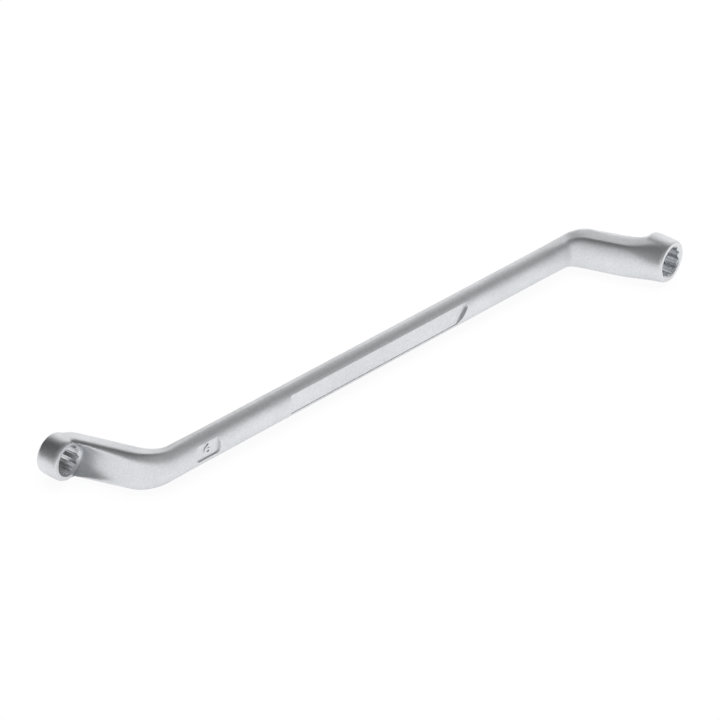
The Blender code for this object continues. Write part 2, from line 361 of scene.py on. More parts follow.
@dataclass(frozen=True)
class RingEnd:
    """One cranked end, laid out at +X with its working face towards -Y."""

    name: str
    surface: Surface
    numeral: str
    across_flats: float
    wall: float
    height: float
    crown_radius: float
    edge_radius: float
    side_length: float
    inner_radius: float
    overhang: float
    bend_radius: float
    outer_delay: float
    edge_round: float
    back_round: float
    taper: float
    flare_length: float
    placement: Matrix
    shank: Shank = field(default_factory=Shank)
    clearance: float = 0.18
    bend_share: float = 0.92
    square_run: float = 9.0
    square_start: float = 0.55
    square_share: float = 0.35
    lead: float = 0.35
    spot_margin: float = 0.55
    spot_depth: float = 0.5
    blank_lip: float = 0.3
    blank_face: float = 0.4
    root_margin: float = 0.5
    root_inset: float = 0.1
    scoop_length: float = 17.0
    scoop_stop: float = 0.95
    scoop_margin: float = 0.1
    scoop_fade: float = 1.6
    scoop_stations: int = 20
    overshoot: float = 2.0
    ease_sections: int = 16
    bend_sections: int = 32
    neck_sections: int = 32
    root_sections: int = 32
    steps: int = 144

    @property
    def flats_radius(self) -> float:
        """Give the distance from the socket's axis to its flats."""
        return (self.across_flats + self.clearance) / 2

    @property
    def corner_radius(self) -> float:
        """Give the distance from the socket's axis to its points."""
        return self.flats_radius / cos(pi / HEXAGON_SIDES)

    @property
    def radius(self) -> float:
        """Give the ring's outer radius."""
        return self.corner_radius + self.wall

    @property
    def spot_radius(self) -> float:
        """Give the radius of the tool that faces the ring on the shank's side."""
        return self.radius - self.spot_margin

    @property
    def axis_x(self) -> float:
        """Give the place of the socket's axis along the tool."""
        return self.shank.length / 2 - self.radius

    @property
    def working_y(self) -> float:
        """Give the plane of the face that goes on the nut."""
        return -self.shank.face_distance / 2

    @property
    def back_y(self) -> float:
        """Give the plane of the spot face."""
        return self.working_y + self.height

    @property
    def neck_outline(self) -> Outline:
        """Work out the upper half of the neck: crowned outside, rounded edge, side and rounded inside.

        Returns:
            The outline, from the outer face over the top to the inner.
        """
        side_radius = self.side_length / (PLAN.side_stop - PLAN.side_start)
        turns = (
            (PLAN.crown_stop, self.crown_radius), (PLAN.side_start, self.edge_radius),
            (PLAN.side_stop, side_radius), (pi, self.inner_radius))
        points = [Vector((0, 0))]
        for start, stop in zip(DIRECTIONS, DIRECTIONS[1:-1]):
            radius = next(radius for limit, radius in turns if (start + stop) / 2 < limit)
            points.append(points[-1] + radius * Vector((cos(stop) - cos(start), sin(stop) - sin(start))))
        points.append(Vector((points[-1].x, 0)))
        middle = Vector((points[-1].x / 2, 0))
        return [point - middle for point in points]

    @property
    def face_gap(self) -> float:
        """Give the distance from the socket's axis to the neck's inner face, at the spot face."""
        return self.radius + self.overhang - 2 * self.neck_outline[0].x / sin(self.shank.neck_angle)

    @property
    def neck_foot(self) -> Vector:
        """Give the place where the neck's middle line crosses the spot face."""
        half_cut = self.neck_outline[0].x / sin(self.shank.neck_angle)
        return Vector((self.axis_x - self.radius - self.overhang + half_cut, self.back_y))

    @property
    def vertex(self) -> Vector:
        """Give the place where the middle lines of shank and neck cross."""
        run, neck_run = self.shank.run, self.shank.neck_run
        return run * (self.neck_foot.cross(neck_run) / run.cross(neck_run))

    @property
    def tangent(self) -> float:
        """Give the length from the vertex to each end of the bend."""
        return self.bend_radius * tan((self.shank.neck_angle - self.shank.tilt) / 2)

    @property
    def bend_start(self) -> Vector:
        """Give the place where the shank runs into the bend."""
        return self.vertex - self.shank.run * self.tangent

    @property
    def bend_end(self) -> Vector:
        """Give the place where the bend runs into the neck."""
        return self.vertex + self.shank.neck_run * self.tangent

    @property
    def flare(self) -> Vector:
        """Give the place where the neck starts to turn into the ring's round."""
        return self.neck_foot - self.shank.neck_run * self.flare_length

    @property
    def root(self) -> Vector:
        """Give the place where the neck's middle line ends inside the ring."""
        depth = self.height - self.edge_round - self.root_margin
        return self.neck_foot + self.shank.neck_run * (depth / sin(self.shank.neck_angle))

    def straight(
        self, start: Vector, stop: Vector, heading: float, outlines: tuple[Outline, Outline], count: int
    ) -> Iterator[Section]:
        """Run sections along a straight stretch, easing from one outline to another.

        Args:
            start: First place, which gets no section.
            stop: Last place.
            heading: Direction of the stretch.
            outlines: Outlines at both places.
            count: Number of sections.

        Returns:
            The sections in order.
        """
        for step in range(1, count + 1):
            share = step / count
            yield Section(start.lerp(stop, share), heading, mix_outlines(*outlines, smooth_step(share)))

    def bend(self, outlines: tuple[Outline, Outline], count: int) -> Iterator[Section]:
        """Run sections round the bend from shank to neck.

        Args:
            outlines: Outlines before and after the bend.
            count: Number of sections.

        Returns:
            The sections in order.
        """
        first, last = -self.shank.tilt, -self.shank.neck_angle
        centre = self.bend_start - self.bend_radius * left_of(first)
        for step in range(1, count + 1):
            share = step / count
            heading = first + (last - first) * share
            mixed = mix_outlines(*outlines, smooth_step(share))
            whole = self.square_start + (1 - self.square_start) * smooth_step(share / self.square_share)
            yield Section(
                centre + self.bend_radius * left_of(heading), heading, self.squared(mixed, whole))

    def squared(self, outline: Outline, whole: float) -> Outline:
        """Give the outer part of an outline the corner of the neck.

        Args:
            outline: Outline to change.
            whole: Share of the neck's corner, up to 1.

        Returns:
            The squared outline.
        """
        corners = fitted(self.neck_outline, outline)
        return [
            point.lerp(corner, whole * outer)
            for point, corner, outer in zip(outline, corners, PLAN.outer_shares)]

    def rooting(self, count: int) -> Iterator[Section]:
        """Run the sections that turn the neck into the ring's round.

        Args:
            count: Number of sections.

        Returns:
            The sections in order.
        """
        heading = -self.shank.neck_angle
        for step in range(1, count + 1):
            share = step / count
            centre = self.flare.lerp(self.root, share)
            sunk = max((self.back_y - centre.y) / self.height, 0.0)
            radius = self.radius - self.taper * sunk ** 2 - self.root_inset
            to_axis = (centre - Vector((self.axis_x, centre.y))).dot(left_of(heading))
            reach = max(radius, self.neck_outline[0].x - to_axis)
            oval = oval_outline(Vector((reach, radius)))
            inside = radius / reach
            ring = [
                Vector((to_axis + point.x * (1 if point.x > 0 else inside), point.y)) for point in oval]
            outline = [
                point.lerp(round_point, smooth_step(share) ** (1 + outer * self.outer_delay))
                for point, round_point, outer in zip(self.neck_outline, ring, PLAN.outer_shares)]
            yield Section(centre, heading, outline)

    def half_bar(self) -> Iterator[Section]:
        """Run sections from the middle of the shank to the root inside the ring.

        Returns:
            The sections in order.
        """
        shank, neck = self.shank.outline, self.neck_outline
        bend = mix_outlines(shank, neck, self.bend_share)
        middle = Vector((0, 0))
        slope, neck_slope = -self.shank.tilt, -self.shank.neck_angle
        yield Section(middle, slope, shank)
        ease = self.bend_start - self.shank.run * self.square_run
        yield from self.straight(middle, ease, slope, (shank, shank), self.shank.stations)
        eased = self.squared(shank, self.square_start)
        yield from self.straight(ease, self.bend_start, slope, (shank, eased), self.ease_sections)
        turn = list(self.bend((shank, bend), self.bend_sections))
        last = turn[-1].outline
        yield from turn
        yield from self.straight(self.bend_end, self.flare, neck_slope, (last, neck), self.neck_sections)
        yield from self.rooting(self.root_sections)

    @property
    def axis_frame(self) -> Matrix:
        """Give a frame on the socket's axis at the working face, its Z out of that face."""
        at_end = Matrix.Translation((self.axis_x, self.working_y, MIDDLE))
        return self.placement @ at_end @ Matrix.Rotation(pi / 2, 4, "X")

    def turned(self, outline: list[tuple[float, float]], name: str) -> bpy.types.Object:
        """Turn a profile round the socket's axis into a solid.

        Args:
            outline: Radius and height pairs, from the axis out and back to it.
            name: Name of the object.

        Returns:
            The turned solid.
        """
        builder = bmesh.new()
        corners = [builder.verts.new((radius, 0, height)) for radius, height in outline]
        edges = [builder.edges.new(pair) for pair in zip(corners, corners[1:])]
        bmesh.ops.spin(
            builder, geom=corners + edges, cent=(0, 0, 0), axis=(0, 0, 1), dvec=(0, 0, 0),
            angle=2 * pi, steps=self.steps, use_merge=True)
        bmesh.ops.remove_doubles(builder, verts=builder.verts, dist=MERGE_DISTANCE)
        builder.transform(self.axis_frame)
        return closed(builder, f"{self.name}_{name}")

    def barrel(self) -> bpy.types.Object:
        """Turn the ring's blank, with both edges well rounded.

        Returns:
            The blank as an object.
        """
        top, back = self.blank_face, -self.height - self.blank_lip
        front, behind = self.edge_round, self.back_round
        rim, back_rim = self.radius - self.taper - front, self.radius - behind
        quarter = [step * pi / (2 * ARC_STEPS) for step in range(ARC_STEPS + 1)]
        outline = [(0, top), (rim, top)]
        outline += [(rim + front * sin(turn), front * (cos(turn) - 1)) for turn in quarter]
        wall = [step / ARC_STEPS for step in range(1, ARC_STEPS)]
        run = self.height - front - behind
        outline += [(self.radius - self.taper * (1 - share) ** 2, -front - run * share) for share in wall]
        outline += [(back_rim + behind * cos(turn), back + behind * (1 - sin(turn))) for turn in quarter]
        outline += [(0, back)]
        return self.turned(outline, "barrel")

    def prism(
        self, sides: int, low: tuple[float, float], high: tuple[float, float], at: Matrix, name: str,
        surface: Surface
    ) -> bpy.types.Object:
        """Make a prism, cylinder or cone between two radius and height pairs.

        Args:
            sides: Number of sides.
            low: Radius and height at the lower end.
            high: Radius and height at the upper end.
            at: Frame whose Z is its axis.
            name: Name of the object.
            surface: Finish that it leaves where it cuts.

        Returns:
            The solid.
        """
        builder = bmesh.new()
        bmesh.ops.create_cone(
            builder, cap_ends=True, segments=sides, radius1=low[0], radius2=high[0], depth=high[1] - low[1],
            matrix=at @ Matrix.Translation((0, 0, (low[1] + high[1]) / 2)))
        for side in builder.faces:
            side.material_index = surface.value
        return closed(builder, f"{self.name}_{name}")

    def scoop_loop(self, share: float) -> list[Vector]:
        """Find a loop of the scoop round the socket's axis.

        Args:
            share: Place along the scoop, from 0 at the spot face.

        Returns:
            Its points in the frame of the axis.
        """
        behind = self.scoop_length * share
        fade = (1 - share) ** self.scoop_fade
        mouth = self.corner_radius + self.lead + self.scoop_margin
        face = self.face_gap + behind / tan(self.shank.neck_angle)
        reach = face + fade * (mouth - self.face_gap)
        width = self.spot_radius / sqrt(1 - (face / reach) ** 2)
        level = -self.height - behind
        turns = [2 * pi * (step + 0.5) / self.steps for step in range(self.steps)]
        sides = [(reach if cos(turn) < 0 else self.spot_radius) * cos(turn) for turn in turns]
        return [Vector((side, width * sin(turn), level)) for side, turn in zip(sides, turns)]

    def in_scoop(self, place: Vector) -> bool:
        """Tell whether a place of the skin lies in the scoop or at its edge.

        Args:
            place: Place in the frame of the axis.

        Returns:
            True if it does.
        """
        behind = -self.height - place.z
        beside = abs(place.y) < self.spot_radius and -place.x < self.radius
        return beside and 0 < behind < self.scoop_length

    def scoop_cutter(self) -> bpy.types.Object:
        """Make the tool that scoops out the neck behind the spot face.

        Returns:
            The cutter.
        """
        shares = [self.scoop_stop * step / self.scoop_stations for step in range(self.scoop_stations + 1)]
        at = self.axis_frame
        rims = [[at @ point for point in self.scoop_loop(share)] for share in shares]
        return lofted(rims, self.name + "_scoop")

    def spot_cutter(self) -> bpy.types.Object:
        """Make the tool that faces the ring on the shank's side.

        Returns:
            The cutter.
        """
        at, lift = self.axis_frame, Vector((0, 0, self.spot_depth))
        rims = [[at @ (point - down) for point in self.scoop_loop(0)] for down in (Vector(), lift)]
        cutter = lofted(rims, self.name + "_spot")
        for side in cutter.data.polygons:
            side.material_index = self.surface.value
        return cutter

    def machining_cutters(self) -> list[bpy.types.Object]:
        """Make the facing tools of both sides, the twelve-point broach and the leads of both mouths.

        Returns:
            The cutters.
        """
        at = self.axis_frame
        between = at @ Matrix.Rotation(pi / self.steps, 4, "Z")
        back, past = -self.height, self.overshoot
        pitch = pi / HEXAGON_SIDES
        narrow = self.flats_radius - self.lead
        wide = self.corner_radius + 2 * self.lead
        deep = self.corner_radius + self.lead - narrow
        clear = self.radius + past
        turns = [at @ Matrix.Rotation((index + 0.5) * pitch, 4, "Z") for index in range(2)]
        cutters = [
            self.prism(
                HEXAGON_SIDES, (self.corner_radius, back - past), (self.corner_radius, past),
                turn, f"broach_{number}", Surface.BROACHED)
            for number, turn in enumerate(turns, 1)]
        round_cuts = (
            ("facing", (clear, 0), (clear, past)),
            ("working_lead", (narrow, -deep), (wide, self.lead)),
            ("back_lead", (wide, back - self.lead), (narrow, back + deep)))
        for name, low, high in round_cuts:
            cutters.append(self.prism(self.steps, low, high, between, name, self.surface))
        return cutters + [self.spot_cutter()]


SMALL_END = RingEnd(
    name="small", surface=Surface.SMALL_FACE, numeral="6", across_flats=6.0, wall=1.65, height=6.0,
    crown_radius=10.6, edge_radius=1.6, side_length=2.4, inner_radius=1.75, overhang=1.55,
    bend_radius=8.0, outer_delay=8.0, edge_round=0.7, back_round=1.2, taper=0.15, flare_length=3.5,
    placement=Matrix.Rotation(pi, 4, "Z"), root_margin=0.2)
LARGE_END = RingEnd(
    name="large", surface=Surface.LARGE_FACE, numeral="7", across_flats=7.0, wall=1.80, height=7.1,
    crown_radius=10.9, edge_radius=1.45, side_length=3.1, inner_radius=1.85, overhang=2.00,
    bend_radius=6.8, outer_delay=0.3, edge_round=0.5, back_round=1.2, taper=0.3, flare_length=5.0,
    placement=Matrix.Identity(4), lead=0.2)


@dataclass(frozen=True)
class Pockets:
    """Sunk fields in the shank's broad faces, and the raised size number."""

    depth: float = 0.65
    size_corner: float = 0.85
    size_length: float = 7.0
    size_width: float = 3.8
    size_lift: float = 0.2
    size_gap: float = 5.8
    panel_corner: float = 0.4
    panel_length: float = 60.7
    panel_width: float = 4.9
    panel_slant: float = 3.4
    panel_shift: float = 1.25
    end_slope: float = 0.35
    corner_steps: int = 6
    numeral_size: float = 3.4
    numeral_spread: float = 1.4
    numeral_weight: float = 0.05
    numeral_rise: float = 0.22
    numeral_merge: float = 0.002

    def frame_at(self, end: RingEnd) -> Matrix:
        """Set a frame on the shank's middle line: X towards the end, Y out of the face with its number.

        Args:
            end: End whose fields are cut.

        Returns:
            The frame in the axes of the tool.
        """
        on_shank = Matrix.Translation((0, 0, MIDDLE)) @ Matrix.Rotation(-end.shank.tilt, 4, "Z")
        return end.placement @ on_shank

    def field_cutter(
        self, corners: list[tuple[float, float]], corner: float, face: float, at: Matrix, name: str
    ) -> bpy.types.Object:
        """Make the cutter of a field with rounded corners and sloping walls.

        Args:
            corners: Outline of its floor, along and up.
            corner: Radius of its corners.
            face: Distance of the shank's face from its middle.
            at: Frame of the shank's face.
            name: Name of the cutter.

        Returns:
            The cutter.
        """
        builder = bmesh.new()
        ring = [builder.verts.new((x, face - self.depth, z)) for x, z in corners]
        builder.faces.new(ring)
        bmesh.ops.bevel(
            builder, geom=ring, offset=corner, offset_type="OFFSET", affect="VERTICES",
            segments=self.corner_steps, profile=0.5, material=-1)
        low = Vector([min(vertex.co[axis] for vertex in builder.verts) for axis in range(3)])
        high = Vector([max(vertex.co[axis] for vertex in builder.verts) for axis in range(3)])
        rise = 2 * self.depth
        grown = bmesh.ops.extrude_face_region(builder, geom=builder.faces[:])["geom"]
        mouth = [item for item in grown if isinstance(item, bmesh.types.BMVert)]
        spread = (1 + 2 * self.end_slope * rise / (high.x - low.x), 1, 1 + 2 * rise / (high.z - low.z))
        bmesh.ops.scale(
            builder, vec=spread, space=Matrix.Translation(-(low + high) / 2), verts=mouth)
        bmesh.ops.translate(builder, vec=(0, rise, 0), verts=mouth)
        builder.transform(at)
        return closed(builder, name)

    def cutters(self, end: RingEnd) -> list[bpy.types.Object]:
        """Make the cutters of the size field and the long panel on one face.

        Args:
            end: End whose number stands on that face.

        Returns:
            The cutters.
        """
        at, face = self.frame_at(end), end.shank.thickness / 2
        outer = end.bend_start.length - self.size_gap
        inner = outer - self.size_length
        low, top = (self.size_lift + side * self.size_width / 2 for side in (-1, 1))
        near, far = (self.panel_shift + side * self.panel_length / 2 for side in (1, -1))
        high, slant = self.panel_width / 2, self.panel_slant
        size_field = [(inner, low), (outer, low), (outer, top), (inner, top)]
        panel = [(far + slant, -high), (near, -high), (near, high), (far, high), (far, slant - high)]
        return [
            self.field_cutter(size_field, self.size_corner, face, at, end.name + "_size_field"),
            self.field_cutter(panel, self.panel_corner, face, at, end.name + "_panel")]

    def number(self, end: RingEnd) -> bpy.types.Object:
        """Make the raised size number that stands in the size field.

        Args:
            end: End whose number it is.

        Returns:
            The number as a closed solid.
        """
        letter = bpy.data.curves.new(end.name + "_letter", "FONT")
        letter.body = end.numeral
        letter.size = self.numeral_size
        letter.offset = self.numeral_weight
        letter.align_x = "CENTER"
        letter.align_y = "CENTER"
        letter.extrude = self.numeral_rise
        draft = linked(letter, end.name + "_letter")
        view = bpy.context.evaluated_depsgraph_get()
        flat = bpy.data.meshes.new_from_object(draft.evaluated_get(view))
        bpy.data.objects.remove(draft)
        builder = bmesh.new()
        builder.from_mesh(flat)
        bpy.data.meshes.remove(flat)
        bmesh.ops.remove_doubles(builder, verts=builder.verts, dist=self.numeral_merge)
        along = end.bend_start.length - self.size_gap - self.size_length / 2
        floor = end.shank.thickness / 2 - self.depth
        upright = Matrix((
            (-self.numeral_spread, 0, 0, along), (0, 0, 1, floor), (0, 1, 0, self.size_lift), (0, 0, 0, 1)))
        builder.transform(self.frame_at(end) @ upright)
        return closed(builder, end.name + "_number")


@dataclass
class Spanner:
    """The one-piece forging with its machined ends."""

    ends: tuple[RingEnd, RingEnd] = (SMALL_END, LARGE_END)
    pockets: Pockets = field(default_factory=Pockets)
    voxel: float = 0.27
    fillet_rounds: int = 26
    fillet_reach: float = 3.5
    fillet_margin: float = 0.2
    relax_factor: float = 0.5
    scoop_rounds: int = 14
    relax_rounds: int = 3
    sharp_angle: float = radians(28)

    def sweep(self) -> bpy.types.Object:
        """Extrude the bar's section from one ring to the other.

        Returns:
            The bar as an object.
        """
        small, large = (list(end.half_bar()) for end in self.ends)
        sections = [section.half_turned() for section in small[:0:-1]] + large
        rims = [section.rim() for section in sections]
        return lofted(rims, "bar")

    def blank(self) -> bpy.types.Object:
        """Forge the bar and both barrels into one skin with soft joints.

        Returns:
            The blank as an object.
        """
        blank = self.sweep()
        combine(blank, [end.barrel() for end in self.ends], Solver.JOIN)
        combine(blank, [end.scoop_cutter() for end in self.ends], Solver.CUT)
        skin = blank.modifiers.new("skin", "REMESH")
        skin.mode = "VOXEL"
        skin.voxel_size = self.voxel
        baked(blank)
        self.soften(blank)
        return blank

    def soften(self, blank: bpy.types.Object) -> None:
        """Fill the hollow joints of rings and necks, and even out the skin.

        Args:
            blank: Forged blank.
        """
        builder = bmesh.new()
        builder.from_mesh(blank.data)
        for end in self.ends:
            into = end.axis_frame.inverted()
            joint = [
                vertex for vertex in builder.verts
                if abs((into @ vertex.co).z + end.height) < self.fillet_reach
                and end.spot_radius + self.fillet_margin < (into @ vertex.co).xy.length < 2 * end.radius]
            for _ in range(self.fillet_rounds):
                builder.normal_update()
                self.relax(builder, [vertex for vertex in joint if self.is_hollow(vertex)], 1)
            scooped = [vertex for vertex in builder.verts if end.in_scoop(into @ vertex.co)]
            self.relax(builder, scooped, self.scoop_rounds)
        self.relax(builder, builder.verts[:], self.relax_rounds)
        builder.to_mesh(blank.data)
        builder.free()

    def relax(
        self, builder: bmesh.types.BMesh, vertices: list[bmesh.types.BMVert], rounds: int
    ) -> None:
        """Move vertices towards the middle of their neighbours.

        Args:
            builder: Skin they belong to.
            vertices: Vertices to move.
            rounds: How often they move.
        """
        for _ in range(rounds):
            bmesh.ops.smooth_vert(
                builder, verts=vertices, factor=self.relax_factor, use_axis_x=True, use_axis_y=True,
                use_axis_z=True)

    def is_hollow(self, vertex: bmesh.types.BMVert) -> bool:
        """Tell whether the skin is hollow at a vertex.

        Args:
            vertex: Vertex of the skin.

        Returns:
            True if its neighbours stand above it.
        """
        near = [edge.other_vert(vertex).co - vertex.co for edge in vertex.link_edges]
        return sum((offset.dot(vertex.normal) for offset in near), 0.0) > 0

    def build(self) -> bpy.types.Object:
        """Forge, machine and mark the tool.

        Returns:
            The finished piece, in metres.
        """
        tool = self.blank()
        self.dress(tool)
        for end in self.ends:
            combine(tool, end.machining_cutters(), Solver.CUT)
            combine(tool, self.pockets.cutters(end), Solver.CUT)
            combine(tool, [self.pockets.number(end)], Solver.JOIN)
        tool.name = "ring_spanner"
        tool.data.name = "ring_spanner"
        tool.data.transform(Matrix.Scale(MILLIMETRE, 4))
        tool.data.shade_smooth()
        tool.data.set_sharp_from_angle(angle=self.sharp_angle)
        return tool

    def dress(self, tool: bpy.types.Object) -> None:
        """Give the tool its finishes, in the order of its slots.

        Args:
            tool: Forged blank.
        """
        small, large = (
            TurnedChrome(name=end.name + "_turned_chrome", axis=end.axis_frame.translation)
            for end in self.ends)
        tool.data.materials.clear()
        for finish in (BlastedChrome(), small, large, BroachedChrome()):
            tool.data.materials.append(finish.material())


@dataclass(frozen=True)
class Grain:
    """Noise of one coarseness: its size in millimetres and its octaves of finer noise."""

    size: float
    detail: float


@dataclass
class NodeBoard:
    """A node tree, with a short way to fill it."""

    tree: bpy.types.NodeTree
    dark_noise: float = 0.3
    light_noise: float = 0.7

    def add(
        self, kind: str, sockets: dict[str | int, Any] | None = None, **settings: Any
    ) -> bpy.types.Node:
        """Add a node, set its options, and set or link its inputs.

        Args:
            kind: Type of node.
            sockets: Values or outputs for its inputs, by name or number.
            settings: Options of the node.

        Returns:
            The new node.
        """
        node = self.tree.nodes.new(kind)
        for name, value in settings.items():
            setattr(node, name, value)
        for name, value in (sockets or {}).items():
            if isinstance(value, bpy.types.NodeSocket):
                self.tree.links.new(value, node.inputs[name])
            else:
                node.inputs[name].default_value = value
        return node

    def noise(self, vector: bpy.types.NodeSocket, grain: Grain) -> bpy.types.NodeSocket:
        """Add noise of a given grain.

        Args:
            vector: Place in metres.
            grain: Size and detail of the noise.

        Returns:
            Its value, from 0 to 1.
        """
        node = self.add("ShaderNodeTexNoise", {
            "Vector": vector, "Scale": 1 / (grain.size * MILLIMETRE), "Detail": grain.detail})
        return node.outputs["Fac"]

    def span(self, value: bpy.types.NodeSocket, low: float, high: float) -> bpy.types.NodeSocket:
        """Spread the middle of a noise value over a range.

        Args:
            value: Value around one half.
            low: Result for dark noise.
            high: Result for light noise.

        Returns:
            The spread value.
        """
        node = self.add("ShaderNodeMapRange", {
            "Value": value, "From Min": self.dark_noise, "From Max": self.light_noise,
            "To Min": low, "To Max": high})
        return node.outputs["Result"]

    def blend(
        self, values: tuple[bpy.types.NodeSocket, ...], weights: tuple[float, ...]
    ) -> bpy.types.NodeSocket:
        """Add up values with weights.

        Args:
            values: Values in order.
            weights: Weight of each.

        Returns:
            The sum.
        """
        total: Any = 0.0
        for value, weight in zip(values, weights):
            node = self.add("ShaderNodeMath", {0: value, 1: weight, 2: total}, operation="MULTIPLY_ADD")
            total = node.outputs[0]
        return total

    def give(self, *results: bpy.types.NodeSocket) -> None:
        """Lead results to the outputs of the group, in the order of its sockets.

        Args:
            results: Colour, roughness and height.
        """
        output = self.add("NodeGroupOutput")
        for result, socket in zip(results, output.inputs):
            self.tree.links.new(result, socket)

    def show(self, shader: bpy.types.Node) -> None:
        """Lead a shader to the output of the material."""
        self.tree.links.new(shader.outputs[0], self.tree.nodes["Material Output"].inputs["Surface"])

    def tint(self, share: bpy.types.NodeSocket, low: Tone, high: Tone) -> bpy.types.NodeSocket:
        """Mix two colours.

        Args:
            share: Share of the second colour.
            low: First colour.
            high: Second colour.

        Returns:
            The mixed colour.
        """
        node = self.add("ShaderNodeMix", {0: share, 6: (*low, 1), 7: (*high, 1)}, data_type="RGBA")
        return node.outputs[2]


def plain_material(name: str) -> tuple[bpy.types.Material, NodeBoard]:
    """Start a material that has no shader yet.

    Args:
        name: Name of the material.

    Returns:
        The material and its board.
    """
    material = bpy.data.materials.new(name)
    material.use_nodes = True
    material.node_tree.nodes.remove(material.node_tree.nodes["Principled BSDF"])
    return material, NodeBoard(material.node_tree)


def finish_group(name: str) -> NodeBoard:
    """Start a node group that gives a surface its colour, roughness and height.

    Args:
        name: Name of the group.

    Returns:
        The board of the group.
    """
    group = bpy.data.node_groups.new(name, "ShaderNodeTree")
    for socket, kind in (("Colour", "Color"), ("Roughness", "Float"), ("Height", "Float")):
        group.interface.new_socket(socket, in_out="OUTPUT", socket_type="NodeSocket" + kind)
    return NodeBoard(group)


def chrome_material(name: str, group: bpy.types.NodeTree, relief: float) -> bpy.types.Material:
    """Make a bare metal whose colour, roughness and relief come from a node group.

    Args:
        name: Name of the material.
        group: Group with colour, roughness and height.
        relief: Height of the relief in millimetres.

    Returns:
        The material.
    """
    material, board = plain_material(name)
    look = board.add("ShaderNodeGroup", node_tree=group)
    bump = board.add("ShaderNodeBump", {
        "Height": look.outputs["Height"], "Distance": relief * MILLIMETRE, "Strength": 1.0})
    board.show(board.add("ShaderNodeBsdfPrincipled", {
        "Metallic": 1.0, "Base Color": look.outputs["Colour"], "Roughness": look.outputs["Roughness"],
        "Normal": bump.outputs["Normal"]}))
    return material


@dataclass(frozen=True, kw_only=True)
class Chrome:
    """A chrome finish: its two tones, its roughness in each, and its relief in millimetres."""

    name: str
    tone: Tone
    bright_tone: Tone
    roughness: tuple[float, float]
    relief: float

    def pattern(self, board: NodeBoard, place: bpy.types.NodeSocket) -> Pattern:
        """Lay out the marks of the finish.

        Args:
            board: Board of the finish.
            place: Place on the piece, in metres.

        Returns:
            What shades the tone, what shades the roughness, and the height.
        """
        raise NotImplementedError

    def material(self) -> bpy.types.Material:
        """Build the material.

        Returns:
            The material.
        """
        board = finish_group(self.name + "_pattern")
        place = board.add("ShaderNodeTexCoord").outputs["Object"]
        shade, sheen, height = self.pattern(board, place)
        tone = board.tint(board.span(shade, 0, 1), self.tone, self.bright_tone)
        board.give(tone, board.span(sheen, *self.roughness), height)
        return chrome_material(self.name, board.tree, self.relief)


@dataclass(frozen=True, kw_only=True)
class BlastedChrome(Chrome):
    """Satin chrome over a bead-blasted forging: fine pitted grain under soft clouds."""

    name: str = "blasted_chrome"
    tone: Tone = (0.665, 0.679, 0.699)
    bright_tone: Tone = (0.825, 0.839, 0.86)
    roughness: tuple[float, float] = (0.50, 0.42)
    grain: Grain = Grain(0.36, 2)
    pits: Grain = Grain(0.8, 2)
    swells: Grain = Grain(2.6, 1)
    clouds: Grain = Grain(11.0, 3)
    shade_weights: tuple[float, ...] = (0.2, 0.3, 0.5)
    height_weights: tuple[float, ...] = (0.3, 0.75, 1.0)
    relief: float = 0.026

    def pattern(self, board: NodeBoard, place: bpy.types.NodeSocket) -> Pattern:
        """Lay fine grain and pits over swells and clouds.

        Args:
            board: Board of the finish.
            place: Place on the piece, in metres.

        Returns:
            Grain for the tone, clouds for the roughness, and the height.
        """
        grain, pits, swells, clouds = (
            board.noise(place, noise) for noise in (self.grain, self.pits, self.swells, self.clouds))
        shade = board.blend((clouds, pits, grain), self.shade_weights)
        return shade, clouds, board.blend((grain, pits, swells), self.height_weights)


@dataclass(frozen=True, kw_only=True)
class TurnedChrome(Chrome):
    """Chrome over a faced ring, with fine turning lines round the socket's axis."""

    axis: Vector
    tone: Tone = (0.70, 0.714, 0.734)
    bright_tone: Tone = (0.78, 0.794, 0.814)
    roughness: tuple[float, float] = (0.46, 0.36)
    line_pitch: float = 0.14
    line_waver: float = 1.2
    line_detail: float = 2.0
    line_detail_scale: float = 0.6
    grain: Grain = Grain(0.3, 2)
    shade_weights: tuple[float, ...] = (0.35, 0.65)
    height_weights: tuple[float, ...] = (0.6, 1.0)
    relief: float = 0.004

    def pattern(self, board: NodeBoard, place: bpy.types.NodeSocket) -> Pattern:
        """Run turning lines round the axis, over a fine grain.

        Args:
            board: Board of the finish.
            place: Place on the piece, in metres.

        Returns:
            Lines for the tone, grain for the roughness, and the height.
        """
        shift = (-self.axis.x * MILLIMETRE, 0, -self.axis.z * MILLIMETRE)
        centred = board.add("ShaderNodeMapping", {"Vector": place, "Location": shift}).outputs["Vector"]
        lines = board.add(
            "ShaderNodeTexWave",
            {"Vector": centred, "Scale": 2 * pi / (WAVE_TURN * self.line_pitch * MILLIMETRE),
             "Distortion": self.line_waver, "Detail": self.line_detail,
             "Detail Scale": self.line_detail_scale},
            wave_type="RINGS", rings_direction="Y").outputs["Fac"]
        grain = board.noise(place, self.grain)
        shade = board.blend((lines, grain), self.shade_weights)
        return shade, grain, board.blend((lines, grain), self.height_weights)


@dataclass(frozen=True, kw_only=True)
class BroachedChrome(Chrome):
    """Chrome in the sockets, over the broach's fine drag lines along the axis."""

    name: str = "broached_chrome"
    tone: Tone = (0.53, 0.542, 0.56)
    bright_tone: Tone = (0.80, 0.814, 0.834)
    roughness: tuple[float, float] = (0.30, 0.24)
    lines: Grain = Grain(0.45, 0)
    line_length: float = 20.0
    relief: float = 0.0006

    def pattern(self, board: NodeBoard, place: bpy.types.NodeSocket) -> Pattern:
        """Draw the broach's lines along the axis.

        Args:
            board: Board of the finish.
            place: Place on the piece, in metres.

        Returns:
            The lines, for the tone, the roughness and the height.
        """
        stretch = (1, self.lines.size / self.line_length, 1)
        drawn = board.add("ShaderNodeMapping", {"Vector": place, "Scale": stretch})
        lines = board.noise(drawn.outputs["Vector"], self.lines)
        return lines, lines, lines


